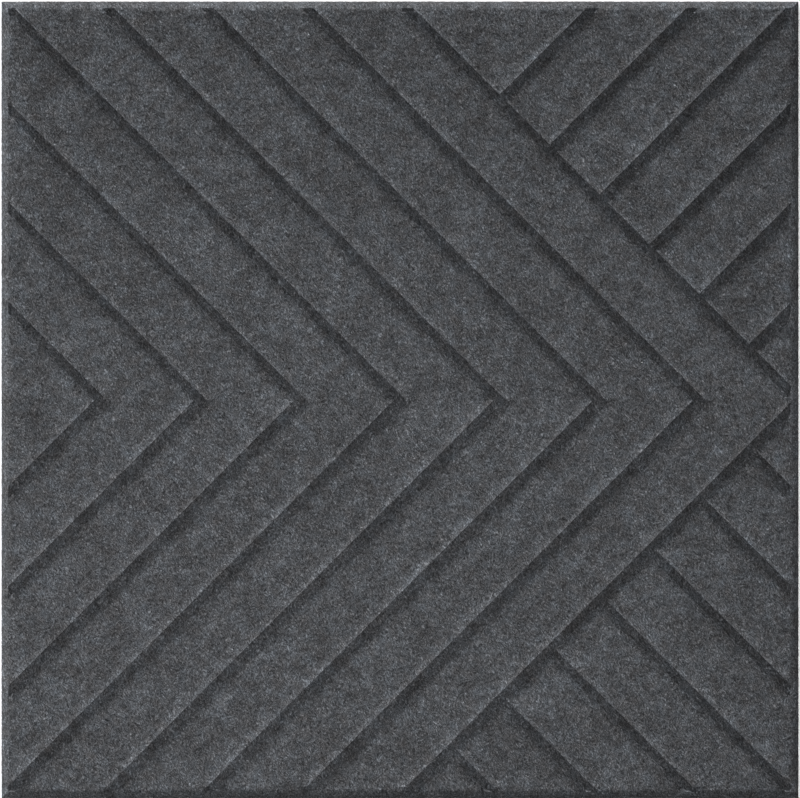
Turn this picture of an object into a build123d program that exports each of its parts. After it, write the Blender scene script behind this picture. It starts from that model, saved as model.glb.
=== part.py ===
from build123d import *

import os
from math import ceil, radians, sqrt, tan

# A square felt panel that lies on its back: origin at the middle of the back face, +Z out of the grooved
# face, +X towards the points of the chevrons. All sizes are in millimetres.

# The sheet, with its front edge rounded over
PANEL_SIDE = 600.0
FELT_THICKNESS = 12.0
EDGE_RADIUS = 7.5

# The grooves: a flat-bottomed slot between two shoulders that curve up out of the face
SLOT_WIDTH = 6.4
SLOT_DEPTH = 2.6
SHOULDER_WIDTH = 6.4
SHOULDER_RISE = 1.2

# Slots and shoulders run out on a slope beside the edge, and reach the face at these distances from it
SLOT_END = 5.0
SHOULDER_END = 8.0
RUN_OUT_ANGLE = 45.0

# The pattern: chevron points stand this far apart along X, and the last one is at the right edge
ROW_PITCH = 75.0
# Corner rows, counted from the far corner, that have no groove
PLAIN_ROWS_UPPER = 1
PLAIN_ROWS_LOWER = 0

# Cutting bodies pass what they cut by this much
OVERRUN = 5.0
# The shoulder's arc starts this far below the face, so that it crosses the face at a small angle
FOOT_SINK = 0.02
# A row that falls nearer than this to the edge of the sheet is left out
EDGE_TOLERANCE = 0.01

half_side = PANEL_SIDE / 2
half_slot = SLOT_WIDTH / 2
shoulder_foot = half_slot + SHOULDER_WIDTH
shoulder_crest = FELT_THICKNESS + SHOULDER_RISE
arm_reach = PANEL_SIDE + OVERRUN
# Along Y, corner grooves leave the outermost chevron at half the pitch, so all rows are equally wide
corner_step = ROW_PITCH / 2


def chevron_path(point_x):
    """Two arms at 45 degrees that meet in a point on the X axis and run past the sheet."""
    upper_end = (point_x - arm_reach, arm_reach)
    lower_end = (point_x - arm_reach, -arm_reach)
    return Polyline(upper_end, (point_x, 0), lower_end)


def corner_path(row, side):
    """A straight groove that leaves the outermost chevron square to it, at the middle of its slot."""
    start_x = half_side - row * corner_step
    start_y = side * row * corner_step
    return Line((start_x, start_y), (start_x + arm_reach, start_y + side * arm_reach))


def chevron_points():
    """X of each chevron's point, from the right edge to the left one."""
    count = ceil((PANEL_SIDE - EDGE_TOLERANCE) / ROW_PITCH)
    return [half_side - row * ROW_PITCH for row in range(count)]


def corner_rows(plain_rows):
    """Rows of one right-hand corner that have a groove, counted from the point of the chevron."""
    count = ceil((half_side - EDGE_TOLERANCE) / corner_step) - 1
    return range(1, count + 1 - plain_rows)


def groove_paths():
    paths = [chevron_path(point_x) for point_x in chevron_points()]
    paths += [corner_path(row, 1) for row in corner_rows(PLAIN_ROWS_UPPER)]
    paths += [corner_path(row, -1) for row in corner_rows(PLAIN_ROWS_LOWER)]
    return paths


def across(path):
    """Plane square to a path at its start, with Y up out of the sheet."""
    along = path % 0
    return Plane(origin=path @ 0, x_dir=Vector(0, 0, 1).cross(along), z_dir=along)


def shoulder_section():
    """Both shoulders of a groove in one section: two hollow arcs that rise and meet over the slot."""
    foot_z = FELT_THICKNESS - FOOT_SINK
    rise = SHOULDER_RISE + FOOT_SINK
    radius = (SHOULDER_WIDTH**2 + rise**2) / (2 * rise)
    peak_z = foot_z + radius - sqrt(radius**2 - shoulder_foot**2)
    left_foot = (-shoulder_foot, foot_z)
    right_foot = (shoulder_foot, foot_z)
    peak = (0, peak_z)
    root_z = FELT_THICKNESS / 2
    with BuildSketch(Plane.XY) as section:
        with BuildLine():
            TangentArc(left_foot, peak, tangent=(1, 0))
            TangentArc(right_foot, peak, tangent=(-1, 0))
            Polyline(left_foot, (-shoulder_foot, root_z), (shoulder_foot, root_z), right_foot)
        make_face()
    return section.sketch


def slot_section():
    floor_z = FELT_THICKNESS - SLOT_DEPTH
    top_z = shoulder_crest + SHOULDER_WIDTH
    corner = Location((0, (floor_z + top_z) / 2))
    return corner * Rectangle(SLOT_WIDTH, top_z - floor_z)


def run_along(section, path):
    """The section carried along the path, with a mitre where the path turns."""
    return sweep(across(path) * section, path=path, transition=Transition.RIGHT)


def run_out_block(face_inset, depth, lean):
    """A square block from a depth below the face to above the shoulders. Its sides lean in by an angle
    on their way up, and pass the face at an inset from the edge of the sheet."""
    foot_side = PANEL_SIDE - 2 * face_inset + 2 * depth * tan(radians(lean))
    foot = Pos(0, 0, FELT_THICKNESS - depth) * Rectangle(foot_side, foot_side)
    return extrude(foot, amount=depth + SHOULDER_RISE + OVERRUN, taper=lean)


def rounded_sheet():
    sheet = extrude(Rectangle(PANEL_SIDE, PANEL_SIDE), amount=FELT_THICKNESS)
    front_face = sheet.faces().sort_by(Axis.Z)[-1]
    return fillet(front_face.edges(), EDGE_RADIUS)


def felt_panel():
    paths = groove_paths()
    shoulders = Part() + [run_along(shoulder_section(), path) for path in paths]
    slots = Part() + [run_along(slot_section(), path) for path in paths]
    panel = rounded_sheet()
    panel += shoulders & run_out_block(SHOULDER_END, OVERRUN, RUN_OUT_ANGLE)
    panel -= slots & run_out_block(SLOT_END, SLOT_DEPTH + OVERRUN, -RUN_OUT_ANGLE)
    return panel


os.makedirs("parts", exist_ok=True)
panel = felt_panel()
panel.label = "felt_panel"
export_step(panel, "parts/felt_panel.step")
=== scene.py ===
from math import atan, ceil, cos, pi, radians, sin, sqrt

import bpy
import numpy as np
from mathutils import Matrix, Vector


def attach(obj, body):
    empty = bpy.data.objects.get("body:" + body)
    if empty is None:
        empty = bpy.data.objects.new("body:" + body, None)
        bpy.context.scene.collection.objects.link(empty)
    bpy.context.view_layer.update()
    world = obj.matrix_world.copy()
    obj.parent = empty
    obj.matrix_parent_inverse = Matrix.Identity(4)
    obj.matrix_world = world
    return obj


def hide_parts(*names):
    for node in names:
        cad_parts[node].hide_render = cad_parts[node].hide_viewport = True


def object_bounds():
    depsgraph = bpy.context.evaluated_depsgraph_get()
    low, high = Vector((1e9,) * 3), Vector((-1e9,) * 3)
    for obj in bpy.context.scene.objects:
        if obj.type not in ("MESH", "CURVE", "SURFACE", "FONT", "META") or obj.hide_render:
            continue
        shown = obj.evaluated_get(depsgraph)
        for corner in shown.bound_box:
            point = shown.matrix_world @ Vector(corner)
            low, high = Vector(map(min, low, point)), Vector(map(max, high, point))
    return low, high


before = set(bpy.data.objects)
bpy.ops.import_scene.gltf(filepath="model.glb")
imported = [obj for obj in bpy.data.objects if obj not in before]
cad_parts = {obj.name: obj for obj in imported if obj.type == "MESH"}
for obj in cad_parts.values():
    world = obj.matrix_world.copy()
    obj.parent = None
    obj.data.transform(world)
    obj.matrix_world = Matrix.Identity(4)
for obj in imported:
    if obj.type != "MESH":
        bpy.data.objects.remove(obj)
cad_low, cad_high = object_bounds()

# Sizes of the panel in metres, as the solid has them
PANEL_SIDE = cad_high.x - cad_low.x
SHOULDER_RISE = 0.0012
FELT_THICKNESS = cad_high.z - SHOULDER_RISE
EDGE_RADIUS = 0.0075
SLOT_WIDTH = 0.0064
SLOT_DEPTH = 0.0026
SHOULDER_WIDTH = 0.0064
SLOT_END = 0.005
SHOULDER_END = 0.008
ROW_PITCH = 0.075
PLAIN_ROWS_UPPER = 1
PLAIN_ROWS_LOWER = 0

HALF_SIDE = PANEL_SIDE / 2
HALF_SLOT = SLOT_WIDTH / 2
SHOULDER_FOOT = HALF_SLOT + SHOULDER_WIDTH
UPRIGHT_EDGE = FELT_THICKNESS - EDGE_RADIUS
# Rows lie at 45 degrees, so measured square to its groove a row is narrower than the pitch along X
ROW_WIDTH = ROW_PITCH / sqrt(2)
# A sliver smaller than this share of the pitch doesn't count as a row
LEAST_ROW = 0.001
CHEVRON_ROWS = ceil(PANEL_SIDE / ROW_PITCH - LEAST_ROW)
CORNER_ROWS = CHEVRON_ROWS - 1
# The outermost chevron's groove, square to its arms, from the middle of the panel
OUTER_CHEVRON = HALF_SIDE / sqrt(2)
# A slot's end slopes up at 45 degrees and meets the rounded edge this far in from the side
SLOT_REACH = EDGE_RADIUS - (sqrt(2 * EDGE_RADIUS**2 - SLOT_END**2) - SLOT_END) / 2

# Faces that each part of the section is divided into
SHOULDER_STEPS = 5
FIELD_STEPS = 4
ROUNDING_STEPS = 6
UPRIGHT_STEPS = 3
SAME_PLACE = 1e-5
# Edges that turn by more than this stay sharp
SHARP_TURN = radians(35)
# Felt is never quite flat: the face swells and sinks by this much in all, over about this width
RIPPLE_HEIGHT = 0.0004
RIPPLE_WIDTH = 0.03


def deselect_everything():
    bpy.ops.object.select_all(action="DESELECT")


def make_active(piece):
    deselect_everything()
    piece.select_set(True)
    bpy.context.view_layer.objects.active = piece


def places(piece):
    """Vertex places of a mesh as an array."""
    flat = np.empty(len(piece.data.vertices) * 3)
    piece.data.vertices.foreach_get("co", flat)
    return flat.reshape(-1, 3)


def face_centres(piece):
    flat = np.empty(len(piece.data.polygons) * 3)
    piece.data.polygons.foreach_get("center", flat)
    return flat.reshape(-1, 3)


def pick_faces(piece, chosen):
    """Go into edit mode with just the chosen faces selected."""
    bpy.ops.object.mode_set(mode="EDIT")
    bpy.ops.mesh.select_mode(type="FACE")
    bpy.ops.mesh.select_all(action="DESELECT")
    bpy.ops.object.mode_set(mode="OBJECT")
    piece.data.polygons.foreach_set("select", chosen)
    bpy.ops.object.mode_set(mode="EDIT")


def cut(place, normal, clear=False):
    """Cut the whole mesh in edit mode by a plane, and drop what lies in front of it if asked."""
    bpy.ops.mesh.select_all(action="SELECT")
    bpy.ops.mesh.bisect(plane_co=place, plane_no=normal, clear_outer=clear, threshold=SAME_PLACE)


def apply_modifier(piece, kind, **settings):
    modifier = piece.modifiers.new(kind.lower(), kind)
    for name, value in settings.items():
        setattr(modifier, name, value)
    bpy.ops.object.modifier_apply(modifier=modifier.name)


def displace_by_share(piece, shares, **settings):
    """Displace straight up, each vertex by its own share of the full strength."""
    make_active(piece)
    group = piece.vertex_groups.new(name="share")
    for index in np.nonzero(shares > 0)[0]:
        group.add([int(index)], float(shares[index]), "REPLACE")
    apply_modifier(piece, "DISPLACE", direction="Z", vertex_group=group.name, **settings)
    piece.vertex_groups.clear()


def move_up(piece, rises):
    """Move each vertex straight up by its own amount, or down where that is negative."""
    for sign in (1, -1):
        amounts = np.clip(sign * rises, 0, None)
        most = amounts.max()
        if most > SAME_PLACE:
            displace_by_share(piece, amounts / most, mid_level=0, strength=sign * most)


def groove_offset(x, y):
    """Distance from the middle of the nearest groove."""
    across_chevron = (x + np.abs(y)) / sqrt(2)
    last = OUTER_CHEVRON - (CHEVRON_ROWS - 1) * ROW_WIDTH
    row = np.clip(np.round((across_chevron - last) / ROW_WIDTH), 0, CHEVRON_ROWS - 1)
    offset = np.abs(across_chevron - last - row * ROW_WIDTH)
    from_point = OUTER_CHEVRON - (x - np.abs(y)) / sqrt(2)
    grooves = CORNER_ROWS - np.where(y > 0, PLAIN_ROWS_UPPER, PLAIN_ROWS_LOWER)
    corner_row = np.clip(np.round(from_point / ROW_WIDTH), 1, grooves)
    corner_offset = np.abs(from_point - corner_row * ROW_WIDTH)
    in_corner = across_chevron > OUTER_CHEVRON - SAME_PLACE
    return np.where(in_corner, np.minimum(offset, corner_offset), offset)


def edge_inset(x, y):
    """Distance inwards from the nearest side of the panel."""
    return HALF_SIDE - np.maximum(np.abs(x), np.abs(y))


def rounding_drop(inset):
    """How far the rounded edge lies below the face."""
    reach = np.clip(EDGE_RADIUS - inset, 0, EDGE_RADIUS)
    return EDGE_RADIUS - np.sqrt(EDGE_RADIUS**2 - reach**2)


def shoulder_rise(offset, inset):
    """Height of the shoulder's hollow arc above the face. It runs out at 45 degrees beside the edge."""
    radius = (SHOULDER_WIDTH**2 + SHOULDER_RISE**2) / (2 * SHOULDER_RISE)
    reach = np.clip(SHOULDER_FOOT - offset, 0, SHOULDER_WIDTH)
    arc = radius - np.sqrt(radius**2 - reach**2)
    return np.minimum(arc, np.clip(inset - SHOULDER_END, 0, None))


def face_height(x, y):
    """Height of the felt's face, with the slots still closed."""
    inset = edge_inset(x, y)
    return FELT_THICKNESS + shoulder_rise(groove_offset(x, y), inset) - rounding_drop(inset)


def floor_height(x, y):
    """Height of a slot's floor, which slopes up at 45 degrees at its ends."""
    return FELT_THICKNESS - np.minimum(SLOT_DEPTH, edge_inset(x, y) - SLOT_END)


def ruled_tile():
    """A flat tile as wide as a row, ruled both ways with the lines that a groove's section needs."""
    bpy.ops.mesh.primitive_plane_add(size=ROW_WIDTH, location=(0, 0, 0))
    tile = bpy.context.object
    shoulder_lines = np.linspace(HALF_SLOT, SHOULDER_FOOT, SHOULDER_STEPS + 1)
    field_lines = np.linspace(SHOULDER_FOOT, ROW_WIDTH / 2, FIELD_STEPS + 1)[1:-1]
    bpy.ops.object.mode_set(mode="EDIT")
    for offset in (0, *shoulder_lines, *field_lines):
        for side in (1, -1):
            cut((side * offset, 0, 0), (1, 0, 0))
            cut((0, side * offset, 0), (0, 1, 0))
    bpy.ops.object.mode_set(mode="OBJECT")
    return tile


def ruled_sheet():
    """A flat sheet of such tiles, laid along both diagonals, cut to size and ruled round its border."""
    sheet = ruled_tile()
    tiles = 2 * ceil(OUTER_CHEVRON * 2 / ROW_WIDTH) + 1
    for step in ((ROW_WIDTH, 0, 0), (0, ROW_WIDTH, 0)):
        apply_modifier(
            sheet,
            "ARRAY",
            count=tiles,
            use_relative_offset=False,
            use_constant_offset=True,
            constant_offset_displace=step,
            use_merge_vertices=True,
            merge_threshold=SAME_PLACE,
        )
    bpy.ops.object.mode_set(mode="EDIT")
    bpy.ops.mesh.select_all(action="SELECT")
    middle = -(tiles - 1) / 2 * ROW_WIDTH
    bpy.ops.transform.translate(value=(middle, middle, FELT_THICKNESS))
    bpy.ops.transform.rotate(value=radians(45), orient_axis="Z", center_override=(0, 0, 0))
    rounding_turns = np.linspace(0, pi / 2, ROUNDING_STEPS + 1)[:-1]
    rings = [EDGE_RADIUS * (1 - sin(turn)) for turn in rounding_turns]
    rings += [SLOT_REACH, SHOULDER_END, SHOULDER_END + SHOULDER_RISE, SLOT_END + SLOT_DEPTH]
    for normal in ((1, 0, 0), (-1, 0, 0), (0, 1, 0), (0, -1, 0)):
        outwards = Vector(normal)
        cut(outwards * HALF_SIDE, normal, clear=True)
        for inset in rings:
            cut(outwards * (HALF_SIDE - inset), normal)
    cut((0, 0, 0), (0, 1, 0))
    bpy.ops.object.mode_set(mode="OBJECT")
    return sheet


def shape_face(sheet):
    """Raise the shoulders and round the border down."""
    x, y, z = places(sheet).T
    move_up(sheet, face_height(x, y) - z)


def sink_slots(sheet):
    """Push the floor of every slot down, as far out as the rounded edge leaves room for it."""
    x, y, _ = face_centres(sheet).T
    pick_faces(sheet, (groove_offset(x, y) < HALF_SLOT) & (edge_inset(x, y) > SLOT_REACH))
    bpy.ops.mesh.extrude_region_move(TRANSFORM_OT_translate={"value": (0, 0, -SLOT_DEPTH)})
    bpy.ops.object.mode_set(mode="OBJECT")
    on_floor = np.empty(len(sheet.data.vertices), dtype=bool)
    sheet.data.vertices.foreach_get("select", on_floor)
    x, y, z = places(sheet).T
    move_up(sheet, np.where(on_floor, floor_height(x, y) - z, 0))
    bpy.ops.object.mode_set(mode="EDIT")
    bpy.ops.mesh.select_all(action="SELECT")
    bpy.ops.mesh.remove_doubles(threshold=SAME_PLACE)
    bpy.ops.object.mode_set(mode="OBJECT")


def close_back():
    """Draw the sheet's outer edge down to the back and close it."""
    bpy.ops.object.mode_set(mode="EDIT")
    bpy.ops.mesh.select_mode(type="EDGE")
    bpy.ops.mesh.select_all(action="DESELECT")
    bpy.ops.mesh.select_non_manifold(
        extend=False, use_wire=False, use_multi_face=False, use_non_contiguous=False, use_verts=False
    )
    drop = (0, 0, -UPRIGHT_EDGE / UPRIGHT_STEPS)
    for _ in range(UPRIGHT_STEPS):
        bpy.ops.mesh.extrude_edges_move(TRANSFORM_OT_translate={"value": drop})
    bpy.ops.mesh.edge_face_add()
    bpy.ops.mesh.select_all(action="SELECT")
    bpy.ops.mesh.normals_make_consistent(inside=False)
    bpy.ops.object.mode_set(mode="OBJECT")


def ripple_face(sheet):
    """Let the face swell and sink a little between the grooves, and leave the slots, edge and back."""
    ripple = bpy.data.textures.new("ripple", "CLOUDS")
    ripple.noise_scale = RIPPLE_WIDTH
    ripple.noise_depth = 1
    x, y, z = places(sheet).T
    past_lip = np.clip((groove_offset(x, y) - HALF_SLOT) / SHOULDER_WIDTH, 0, 1)
    shares = past_lip * np.clip(edge_inset(x, y) / EDGE_RADIUS, 0, 1) * (z > UPRIGHT_EDGE)
    displace_by_share(
        sheet, shares, texture=ripple, texture_coords="LOCAL", mid_level=0.5, strength=RIPPLE_HEIGHT
    )


def felt_panel():
    deselect_everything()
    sheet = ruled_sheet()
    sheet.name = "panel_felt"
    shape_face(sheet)
    sink_slots(sheet)
    close_back()
    ripple_face(sheet)
    make_active(sheet)
    bpy.ops.object.shade_smooth_by_angle(angle=SHARP_TURN)
    return sheet


# Loose fibres stand out of the felt, in joined meshes of this many on the face and on each side
FIBRES_IN_PIECE = 8000
FACE_PIECES = 3
SIDE_FIBRES = 700
# Routes drawn for each fibre, because those that leave their surface are dropped
ROUTES_FOR_EACH = 3
FIBRE_STEPS = 5
FIBRE_SIDES = 3
# From the shortest, thinnest and flattest to the longest, thickest and highest
LOOSE_LENGTH = (0.003, 0.011)
LOOSE_RADIUS = (0.00005, 0.00011)
LOOSE_LIFT = (0.0001, 0.0005)
SIDE_LIFT = (0.00005, 0.00015)
# Both ends are sunk in the felt by this much
LOOSE_SINK = 0.0002
# On the face most run down and to the right, and on the sides most run along them
FACE_HEADING = radians(112)
SIDE_HEADING = 0.0
HEADING_SPREAD = radians(45)
TURN_SPREAD = radians(55)
# Fibres keep this far from the lips of the slots and the floor, and from the outermost edge
LIP_CLEARANCE = 0.0004
RIM_CLEARANCE = 0.0012
# On the sides they lie up to this height, partly on the rounding
SIDE_FIBRE_TOP = UPRIGHT_EDGE + 0.6 * EDGE_RADIUS
# Rays towards the felt start this far away
FAR_OUT = 1.0
# Share of a fibre's patch of the colour map that stays free on each side
PATCH_MARGIN = 0.05


def fibre_routes(draw, count, middle, reach, heading):
    """Gently curved routes of fibres on a plane, as a row of points for each."""
    start = middle + draw.uniform(-1, 1, (count, 1, 2)) * reach
    bearing = draw.normal(heading, HEADING_SPREAD, (count, 1))
    turn = draw.normal(0, TURN_SPREAD, (count, 1))
    length = draw.uniform(*LOOSE_LENGTH, (count, 1, 1))
    share = (np.arange(FIBRE_STEPS) + 0.5) / FIBRE_STEPS - 0.5
    bearings = bearing + turn * share
    steps = np.stack((np.cos(bearings), np.sin(bearings)), axis=2) * length / FIBRE_STEPS
    return np.concatenate((start, start + np.cumsum(steps, axis=1)), axis=1)


def stays_on_one_level(routes):
    """Which routes lie on the face all along, or on the floor of a slot, and inside the edge."""
    x, y = np.moveaxis(routes, 2, 0)
    past_lip = groove_offset(x, y) - HALF_SLOT
    on_face = (past_lip > LIP_CLEARANCE).all(axis=1)
    on_floor = (past_lip < -LIP_CLEARANCE).all(axis=1)
    return (on_face | on_floor) & (edge_inset(x, y) > RIM_CLEARANCE).all(axis=1)


def stays_on_side(routes):
    """Which routes lie between the floor and the upper part of the rounding, and inside the corners."""
    across, height = np.moveaxis(routes, 2, 0)
    inside = np.abs(across) < HALF_SIDE - EDGE_RADIUS
    return (inside & (height > LIP_CLEARANCE) & (height < SIDE_FIBRE_TOP)).all(axis=1)


def laid_on(felt, draw, routes, along, outwards, lifts):
    """Routes on a plane, cast on the felt from outside and bowed out of it, with both ends sunk."""
    upwards = np.cross(outwards, along)
    flat = routes[..., :1] * along + routes[..., 1:] * upwards
    starts = (flat + FAR_OUT * outwards).reshape(-1, 3)
    inwards = Vector(-outwards)
    hits = [felt.ray_cast(Vector(start), inwards)[1] for start in starts]
    share = np.linspace(0, 1, FIBRE_STEPS + 1)
    arch = 4 * share * (1 - share)
    lift = draw.uniform(*lifts, (len(routes), 1))
    height = lift * arch - LOOSE_SINK * (1 - arch)
    return np.array(hits).reshape(flat.shape) + height[..., None] * outwards


def corner_number(ring, side):
    """Number of a corner in one fibre's mesh, which starts with the point at its first end."""
    return 1 + ring * FIBRE_SIDES + side % FIBRE_SIDES


def fibre_faces():
    """Faces of one fibre, and the place of each of their corners on its patch of the colour map."""
    rings = FIBRE_STEPS - 1
    last = 1 + rings * FIBRE_SIDES
    faces, places_on_map = [], []
    for side in range(FIBRE_SIDES):
        low, high = side / FIBRE_SIDES, (side + 1) / FIBRE_SIDES
        middle = (low + high) / 2
        faces.append((0, corner_number(0, side + 1), corner_number(0, side)))
        places_on_map += [(0, middle), (1, high), (1, low)]
        for ring in range(rings - 1):
            near = (corner_number(ring, side), corner_number(ring, side + 1))
            far = (corner_number(ring + 1, side + 1), corner_number(ring + 1, side))
            faces.append(near + far)
            places_on_map += [(ring + 1, low), (ring + 1, high), (ring + 2, high), (ring + 2, low)]
        faces.append((corner_number(rings - 1, side), corner_number(rings - 1, side + 1), last))
        places_on_map += [(rings, low), (rings, high), (FIBRE_STEPS, middle)]
    return faces, np.array(places_on_map) / (FIBRE_STEPS, 1)


def fibre_mesh(name, draw, lines, outwards):
    """One mesh of three-sided fibres along rows of points, each drawn to a point at both ends. Outwards
    is the direction out of the felt, one for all or one for each fibre."""
    count = len(lines)
    outwards = outwards.reshape(-1, 1, 3)
    inner = lines[:, 1:-1]
    ahead = lines[:, 2:] - lines[:, :-2]
    aside = np.cross(outwards, ahead)
    aside /= np.linalg.norm(aside, axis=2, keepdims=True)
    turns = np.arange(FIBRE_SIDES)[:, None] * 2 * pi / FIBRE_SIDES
    radius = draw.uniform(*LOOSE_RADIUS, (count, 1, 1, 1))
    spokes = np.cos(turns) * aside[:, :, None] + np.sin(turns) * outwards[:, :, None]
    rings = (inner[:, :, None] + radius * spokes).reshape(count, -1, 3)
    corners = np.concatenate((lines[:, :1], rings, lines[:, -1:]), axis=1)
    faces, places_on_map = fibre_faces()
    size = corners.shape[1]
    firsts = range(0, count * size, size)
    all_faces = [[first + corner for corner in face] for first in firsts for face in faces]
    mesh = bpy.data.meshes.new(name)
    mesh.from_pydata(corners.reshape(-1, 3), [], all_faces)
    shade = mesh.attributes.new("shade", "FLOAT", "POINT")
    shade.data.foreach_set("value", np.repeat(draw.uniform(0, 1, count), size))
    patches = ceil(sqrt(count))
    patch = np.stack((np.arange(count) % patches, np.arange(count) // patches), axis=1)
    in_patch = PATCH_MARGIN + places_on_map * (1 - 2 * PATCH_MARGIN)
    colour_map = mesh.uv_layers.new(name="OFBake")
    colour_map.uv.foreach_set("vector", ((patch[:, None] + in_patch) / patches).ravel())
    mesh.shade_smooth()
    piece = bpy.data.objects.new(name, mesh)
    bpy.context.scene.collection.objects.link(piece)
    return piece


def face_fibres(felt, number):
    """Loose fibres all over the face and the floors of the slots."""
    draw = np.random.default_rng(number)
    routes = fibre_routes(draw, ROUTES_FOR_EACH * FIBRES_IN_PIECE, 0, HALF_SIDE, FACE_HEADING)
    routes = routes[stays_on_one_level(routes)][:FIBRES_IN_PIECE]
    outwards = np.array((0, 0, 1))
    lines = laid_on(felt, draw, routes, np.array((1, 0, 0)), outwards, LOOSE_LIFT)
    return fibre_mesh(f"face_fibres_{number}", draw, lines, outwards)


def side_fibres(felt):
    """Loose fibres on the four sides, in one mesh."""
    draw = np.random.default_rng(0)
    middle = (0, SIDE_FIBRE_TOP / 2)
    reach = (HALF_SIDE, SIDE_FIBRE_TOP / 2)
    lines, outwards = [], []
    for away in np.array(((1, 0, 0), (0, 1, 0), (-1, 0, 0), (0, -1, 0))):
        routes = fibre_routes(draw, ROUTES_FOR_EACH * SIDE_FIBRES, middle, reach, SIDE_HEADING)
        routes = routes[stays_on_side(routes)][:SIDE_FIBRES]
        lines.append(laid_on(felt, draw, routes, np.cross((0, 0, 1), away), away, SIDE_LIFT))
        outwards.append(np.tile(away, (len(routes), 1)))
    return fibre_mesh("side_fibres", draw, np.concatenate(lines), np.concatenate(outwards))


def add_node(tree, kind, **settings):
    node = tree.nodes.new(kind)
    for name, value in settings.items():
        setattr(node, name, value)
    return node


def feed(tree, socket, value):
    """Link a socket to another one, or set it to a plain value."""
    if isinstance(value, bpy.types.NodeSocket):
        tree.links.new(value, socket)
    else:
        socket.default_value = value


def math_step(tree, kind, operation, values):
    """Result of one step of arithmetic on sockets and plain values."""
    node = add_node(tree, kind, operation=operation)
    for socket, value in zip(node.inputs, values):
        feed(tree, socket, value)
    return node.outputs[0]


def number_step(tree, operation, *values):
    return math_step(tree, "ShaderNodeMath", operation, values)


def vector_step(tree, operation, *values):
    return math_step(tree, "ShaderNodeVectorMath", operation, values)


def scaled(tree, vector, factor):
    node = add_node(tree, "ShaderNodeVectorMath", operation="SCALE")
    feed(tree, node.inputs[0], vector)
    feed(tree, node.inputs["Scale"], factor)
    return node.outputs[0]


def mixed(tree, kind, factor, first, second):
    """A number or colour between two, by a factor from 0 to 1."""
    node = add_node(tree, "ShaderNodeMix", data_type=kind)
    feed(tree, node.inputs["Factor"], factor)
    feed(tree, node.inputs["A"], first)
    feed(tree, node.inputs["B"], second)
    return node.outputs["Result"]


def noise(tree, vector, scale, detail=0.0, output="Fac"):
    node = add_node(tree, "ShaderNodeTexNoise")
    feed(tree, node.inputs["Vector"], vector)
    feed(tree, node.inputs["Scale"], scale)
    feed(tree, node.inputs["Detail"], detail)
    return node.outputs[output]


def new_material(name):
    """A new material, with its nodes and its shader."""
    material = bpy.data.materials.new(name)
    material.use_nodes = True
    tree = material.node_tree
    return material, tree, tree.nodes["Principled BSDF"]


# Noise runs from 0 to 1, around this
NOISE_MIDDLE = 0.5
# Directions that the fibres lie in, each with its share of the contrast. Most run down and to the right.
FIBRE_LAYS = ((95, 0.9), (120, 0.9), (140, 0.8), (60, 0.75), (15, 0.7))
FIBRE_LENGTH = 0.0026
FIBRE_WIDTH = 0.00066
# Below 1 the pattern is drawn out down the sides, as felt is where its edge is pressed round
FIBRE_SLANT = 0.5
# Fibres bend aside by up to this much, over about this length
FIBRE_BEND = 0.0015
FIBRE_BEND_LENGTH = 0.006
# Contrast of the fibres, of the clumps that they form and of larger soft patches, in doublings of
# brightness
FIBRE_CONTRAST = 2.38
CLUMP_WIDTH = 0.009
CLUMP_CONTRAST = 1.55
PATCH_WIDTH = 0.035
PATCH_CONTRAST = 0.75
# Painted shade: along its rounded edge the felt's colour grows darker outwards by this much of a
# doubling, over this width
EDGE_PAINTED_SHADE = 0.28
PAINTED_SHADE_WIDTH = 0.8 * EDGE_RADIUS
# Relief too fine to model: how far the fibres stand out, and how far the felt sinks where it is pressed
FIBRE_RELIEF = 0.00018
PRESSED_SINK = 0.0003
PRESSED_FROM = 0.9 * EDGE_RADIUS
PRESSED_TO = 0.45 * EDGE_RADIUS
# The felt's tint swings between these over about this width, and light patches are cooler than dark ones
TINT_WIDTH = 0.008
TINT_BY_TONE = 0.5
FELT_COOL = (0.066, 0.0734, 0.0828, 1)
FELT_WARM = (0.0759, 0.0739, 0.0755, 1)
# Loose fibres are of any grey between these
LOOSE_DARK = (0.04, 0.042, 0.045, 1)
LOOSE_PALE = (0.17, 0.18, 0.19, 1)


def fibre_lay_group():
    """Grey value of fibres that lie mostly one way, around zero: noise drawn out along them."""
    group = bpy.data.node_groups.new("fibre_lay", "ShaderNodeTree")
    sockets = group.interface
    sockets.new_socket("Vector", in_out="INPUT", socket_type="NodeSocketVector")
    for name in ("Turn", "Length", "Width", "Contrast"):
        sockets.new_socket(name, in_out="INPUT", socket_type="NodeSocketFloat")
    sockets.new_socket("Strokes", in_out="OUTPUT", socket_type="NodeSocketFloat")
    given = add_node(group, "NodeGroupInput").outputs
    turned = add_node(group, "ShaderNodeVectorRotate", rotation_type="Z_AXIS", invert=True)
    feed(group, turned.inputs["Vector"], given["Vector"])
    feed(group, turned.inputs["Angle"], given["Turn"])
    stretch = add_node(group, "ShaderNodeCombineXYZ")
    for axis, size in (("X", "Length"), ("Y", "Width"), ("Z", "Width")):
        feed(group, stretch.inputs[axis], given[size])
    drawn_out = vector_step(group, "DIVIDE", turned.outputs[0], stretch.outputs[0])
    grey = number_step(group, "SUBTRACT", noise(group, drawn_out, 1.0), NOISE_MIDDLE)
    result = add_node(group, "NodeGroupOutput")
    feed(group, result.inputs["Strokes"], number_step(group, "MULTIPLY", grey, given["Contrast"]))
    return group


def lay(tree, group, **values):
    """One layer of fibres in a material."""
    node = add_node(tree, "ShaderNodeGroup", node_tree=group)
    for name, value in values.items():
        feed(tree, node.inputs[name], value)
    return node.outputs["Strokes"]


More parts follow.
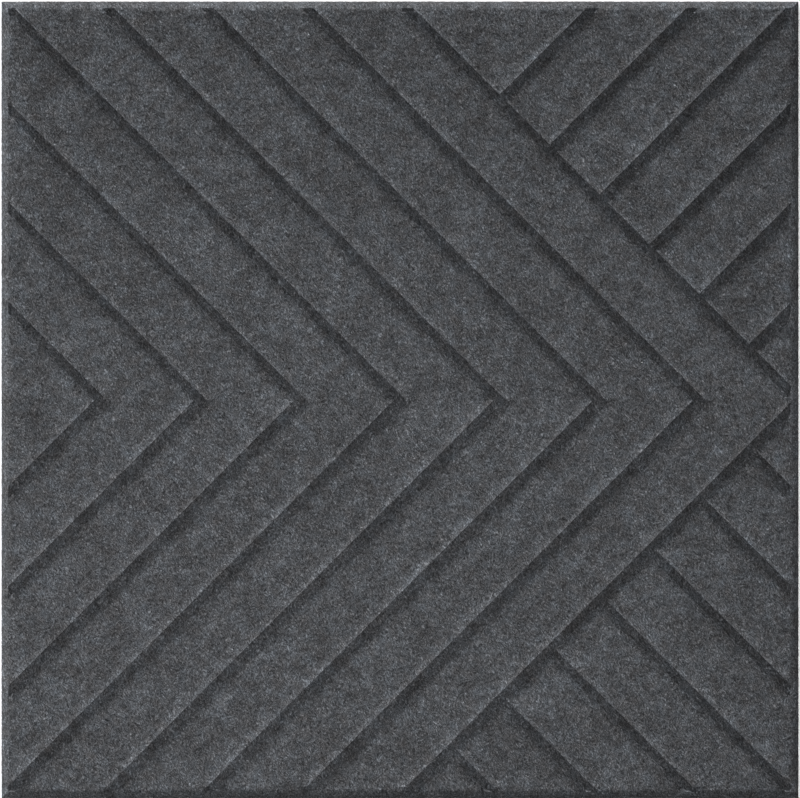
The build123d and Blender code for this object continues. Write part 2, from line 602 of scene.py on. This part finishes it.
def fibre_strokes(tree, fibre_lay, place):
    """Grey value of fibres that bend a little, in layers that lie different ways."""
    bends = noise(tree, place, 1 / FIBRE_BEND_LENGTH, output="Color")
    bends = vector_step(tree, "SUBTRACT", bends, (NOISE_MIDDLE, NOISE_MIDDLE, NOISE_MIDDLE))
    bent = vector_step(tree, "ADD", place, scaled(tree, bends, 2 * FIBRE_BEND))
    strokes = 0.0
    for index, (turn, share) in enumerate(FIBRE_LAYS):
        # Each layer is read a metre further along, so that no two are alike
        layer = lay(
            tree,
            fibre_lay,
            Vector=vector_step(tree, "ADD", bent, (index, 0, 0)),
            Turn=radians(turn),
            Length=FIBRE_LENGTH,
            Width=FIBRE_WIDTH,
            Contrast=share,
        )
        strokes = number_step(tree, "ADD", strokes, layer)
    return strokes


def soft_spots(tree, place, width, contrast):
    """Soft light and dark spots of about this width, around zero."""
    grey = number_step(tree, "SUBTRACT", noise(tree, place, 1 / width, detail=1.0), NOISE_MIDDLE)
    return number_step(tree, "MULTIPLY", grey, contrast)


def edge_band(tree, on_panel, inner, outer, shape):
    """Mask of the rounded edge that grows between two distances from the side."""
    apart = add_node(tree, "ShaderNodeSeparateXYZ")
    feed(tree, apart.inputs[0], vector_step(tree, "ABSOLUTE", on_panel))
    mask = add_node(tree, "ShaderNodeMapRange", interpolation_type=shape)
    farther = number_step(tree, "MAXIMUM", apart.outputs["X"], apart.outputs["Y"])
    feed(tree, mask.inputs["Value"], farther)
    feed(tree, mask.inputs["From Min"], HALF_SIDE - inner)
    feed(tree, mask.inputs["From Max"], HALF_SIDE - outer)
    return mask.outputs["Result"]


def felt_material(fibre_lay):
    """Charcoal melange felt: short light and dark fibres laid every way, in soft patches, with painted
    shade darkening the colour along the rounded edge.
    """
    material, tree, shader = new_material("charcoal_felt")
    on_panel = add_node(tree, "ShaderNodeTexCoord").outputs["Object"]
    place = vector_step(tree, "MULTIPLY", on_panel, (1, 1, FIBRE_SLANT))
    strokes = fibre_strokes(tree, fibre_lay, place)
    clumps = soft_spots(tree, place, CLUMP_WIDTH, CLUMP_CONTRAST)
    patches = soft_spots(tree, place, PATCH_WIDTH, PATCH_CONTRAST)
    soft_tone = number_step(tree, "ADD", clumps, patches)
    tone = number_step(tree, "MULTIPLY_ADD", strokes, FIBRE_CONTRAST, soft_tone)
    # Painted shade: the colour darkens outwards across the rounded edge
    painted_shade = edge_band(tree, on_panel, PAINTED_SHADE_WIDTH, 0, "LINEAR")
    tone = number_step(tree, "MULTIPLY_ADD", painted_shade, -EDGE_PAINTED_SHADE, tone)
    brightness = number_step(tree, "POWER", 2.0, tone)
    warmth = noise(tree, place, 1 / TINT_WIDTH, detail=1.0)
    warmth = number_step(tree, "MULTIPLY_ADD", soft_tone, -TINT_BY_TONE, warmth)
    tint = mixed(tree, "RGBA", warmth, FELT_COOL, FELT_WARM)
    feed(tree, shader.inputs["Base Color"], scaled(tree, tint, brightness))
    shader.inputs["Roughness"].default_value = 1.0
    shader.inputs["Specular IOR Level"].default_value = 0.1
    sunk = edge_band(tree, on_panel, PRESSED_FROM, PRESSED_TO, "SMOOTHSTEP")
    relief = number_step(tree, "MULTIPLY", strokes, FIBRE_RELIEF)
    relief = number_step(tree, "MULTIPLY_ADD", sunk, -PRESSED_SINK, relief)
    bump = add_node(tree, "ShaderNodeBump")
    bump.inputs["Strength"].default_value = 1.0
    bump.inputs["Distance"].default_value = 1.0
    feed(tree, bump.inputs["Height"], relief)
    feed(tree, shader.inputs["Normal"], bump.outputs["Normal"])
    return material


def fibre_material():
    """Loose fibres, each of its own grey."""
    material, tree, shader = new_material("loose_fibre")
    shade = add_node(tree, "ShaderNodeAttribute", attribute_name="shade")
    grey = mixed(tree, "RGBA", shade.outputs["Fac"], LOOSE_DARK, LOOSE_PALE)
    feed(tree, shader.inputs["Base Color"], grey)
    shader.inputs["Roughness"].default_value = 0.8
    shader.inputs["Specular IOR Level"].default_value = 0.2
    return material


FLOOR_SIZE = 40
# The floor lies this far below the panel's back
FLOOR_GAP = 0.0002
FLOOR_WHITE = (0.9, 0.9, 0.9, 1)
# Added for the camera alone, so that the floor is white around the panel
FLOOR_GLOW = 0.35
WHITE = (1, 1, 1, 1)


def floor_stage():
    """A white floor that keeps the panel's shadow."""
    bpy.ops.mesh.primitive_plane_add(size=FLOOR_SIZE, location=(0, 0, -FLOOR_GAP))
    floor = bpy.context.object
    floor.name = "floor"
    material, tree, shader = new_material("floor_white")
    shader.inputs["Base Color"].default_value = FLOOR_WHITE
    shader.inputs["Roughness"].default_value = 1.0
    shader.inputs["Specular IOR Level"].default_value = 0.0
    shader.inputs["Emission Color"].default_value = WHITE
    seen = add_node(tree, "ShaderNodeLightPath").outputs["Is Camera Ray"]
    feed(tree, shader.inputs["Emission Strength"], number_step(tree, "MULTIPLY", seen, FLOOR_GLOW))
    floor.data.materials.append(material)


# The photograph's frame in pixels
FRAME_WIDTH_PX = 800
PANEL_WIDTH_PX = 796.8
# The middle of the panel lies this far below the middle of the frame
PANEL_BELOW_MIDDLE_PX = 1.0
LENS_MM = 300
SENSOR_MM = 36
CLIP_END = 100


def camera():
    """A long lens straight above the panel."""
    view_width = PANEL_SIDE * FRAME_WIDTH_PX / PANEL_WIDTH_PX
    distance = view_width * LENS_MM / SENSOR_MM
    data = bpy.data.cameras.new("camera")
    data.lens = LENS_MM
    data.sensor_width = SENSOR_MM
    data.clip_end = CLIP_END
    eye = bpy.data.objects.new("camera", data)
    bpy.context.scene.collection.objects.link(eye)
    rise = PANEL_BELOW_MIDDLE_PX * PANEL_SIDE / PANEL_WIDTH_PX
    eye.location = (0, rise, UPRIGHT_EDGE + distance)
    bpy.context.scene.camera = eye


KEY_STRENGTH = 5.6
KEY_ANGLE = radians(6)
KEY_ELEVATION = radians(14)
KEY_LEFT_OF_TOP = radians(14)
SPOT_WATTS = 812
SPOT_PLACE = (-0.2, -0.2)
SPOT_HEIGHT = 5.0
SPOT_RADIUS = 0.8
# The spot fades out at this distance from its middle
SPOT_REACH = 1.0
# Strips of light face the left and right sides, each with its own watts
STRIPS = (("left_strip", -1, 1.3), ("right_strip", 1, 0.15))
STRIP_LENGTH = 0.9
STRIP_WIDTH = 0.006
STRIP_DISTANCE = 0.25
STRIP_HEIGHT = 0.0045
# Strength of the world as light on the panel, and as the camera sees it
WORLD_LIGHT = 0.1
WORLD_SEEN = 1.0


def add_light(name, kind, energy):
    data = bpy.data.lights.new(name, kind)
    data.energy = energy
    light = bpy.data.objects.new(name, data)
    bpy.context.scene.collection.objects.link(light)
    light.visible_camera = False
    return light


def lights():
    """A low key from the top, a wide soft spot overhead, and strips beside the left and right edges."""
    key = add_light("low_key", "SUN", KEY_STRENGTH)
    key.data.angle = KEY_ANGLE
    towards = Vector((
        -sin(KEY_LEFT_OF_TOP) * cos(KEY_ELEVATION),
        cos(KEY_LEFT_OF_TOP) * cos(KEY_ELEVATION),
        sin(KEY_ELEVATION),
    ))
    key.rotation_euler = towards.to_track_quat("Z", "Y").to_euler()
    overhead = add_light("overhead_spot", "SPOT", SPOT_WATTS)
    overhead.data.spot_size = 2 * atan(SPOT_REACH / SPOT_HEIGHT)
    overhead.data.spot_blend = 1
    overhead.data.shadow_soft_size = SPOT_RADIUS
    overhead.location = (*SPOT_PLACE, SPOT_HEIGHT)
    for name, side, watts in STRIPS:
        strip = add_light(name, "AREA", watts)
        strip.data.shape = "RECTANGLE"
        strip.data.size = STRIP_LENGTH
        strip.data.size_y = STRIP_WIDTH
        strip.location = (side * (HALF_SIDE + STRIP_DISTANCE), 0, STRIP_HEIGHT)
        strip.rotation_euler = (radians(90), 0, side * radians(90))


def studio():
    """Faint white light from all round, which the camera sees as white."""
    world = bpy.data.worlds.new("studio")
    bpy.context.scene.world = world
    world.use_nodes = True
    tree = world.node_tree
    background = tree.nodes["Background"]
    background.inputs["Color"].default_value = WHITE
    seen = add_node(tree, "ShaderNodeLightPath").outputs["Is Camera Ray"]
    strength = mixed(tree, "FLOAT", seen, WORLD_LIGHT, WORLD_SEEN)
    feed(tree, background.inputs["Strength"], strength)


panel = felt_panel()
panel.data.materials.append(felt_material(fibre_lay_group()))
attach(panel, "root")
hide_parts("felt_panel")
loose_fibre = fibre_material()
fibre_pieces = [side_fibres(panel)]
fibre_pieces += [face_fibres(panel, number + 1) for number in range(FACE_PIECES)]
for fibres in fibre_pieces:
    fibres.data.materials.append(loose_fibre)
    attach(fibres, "root")
floor_stage()
camera()
lights()
studio()
bpy.context.scene.view_settings.view_transform = "Standard"
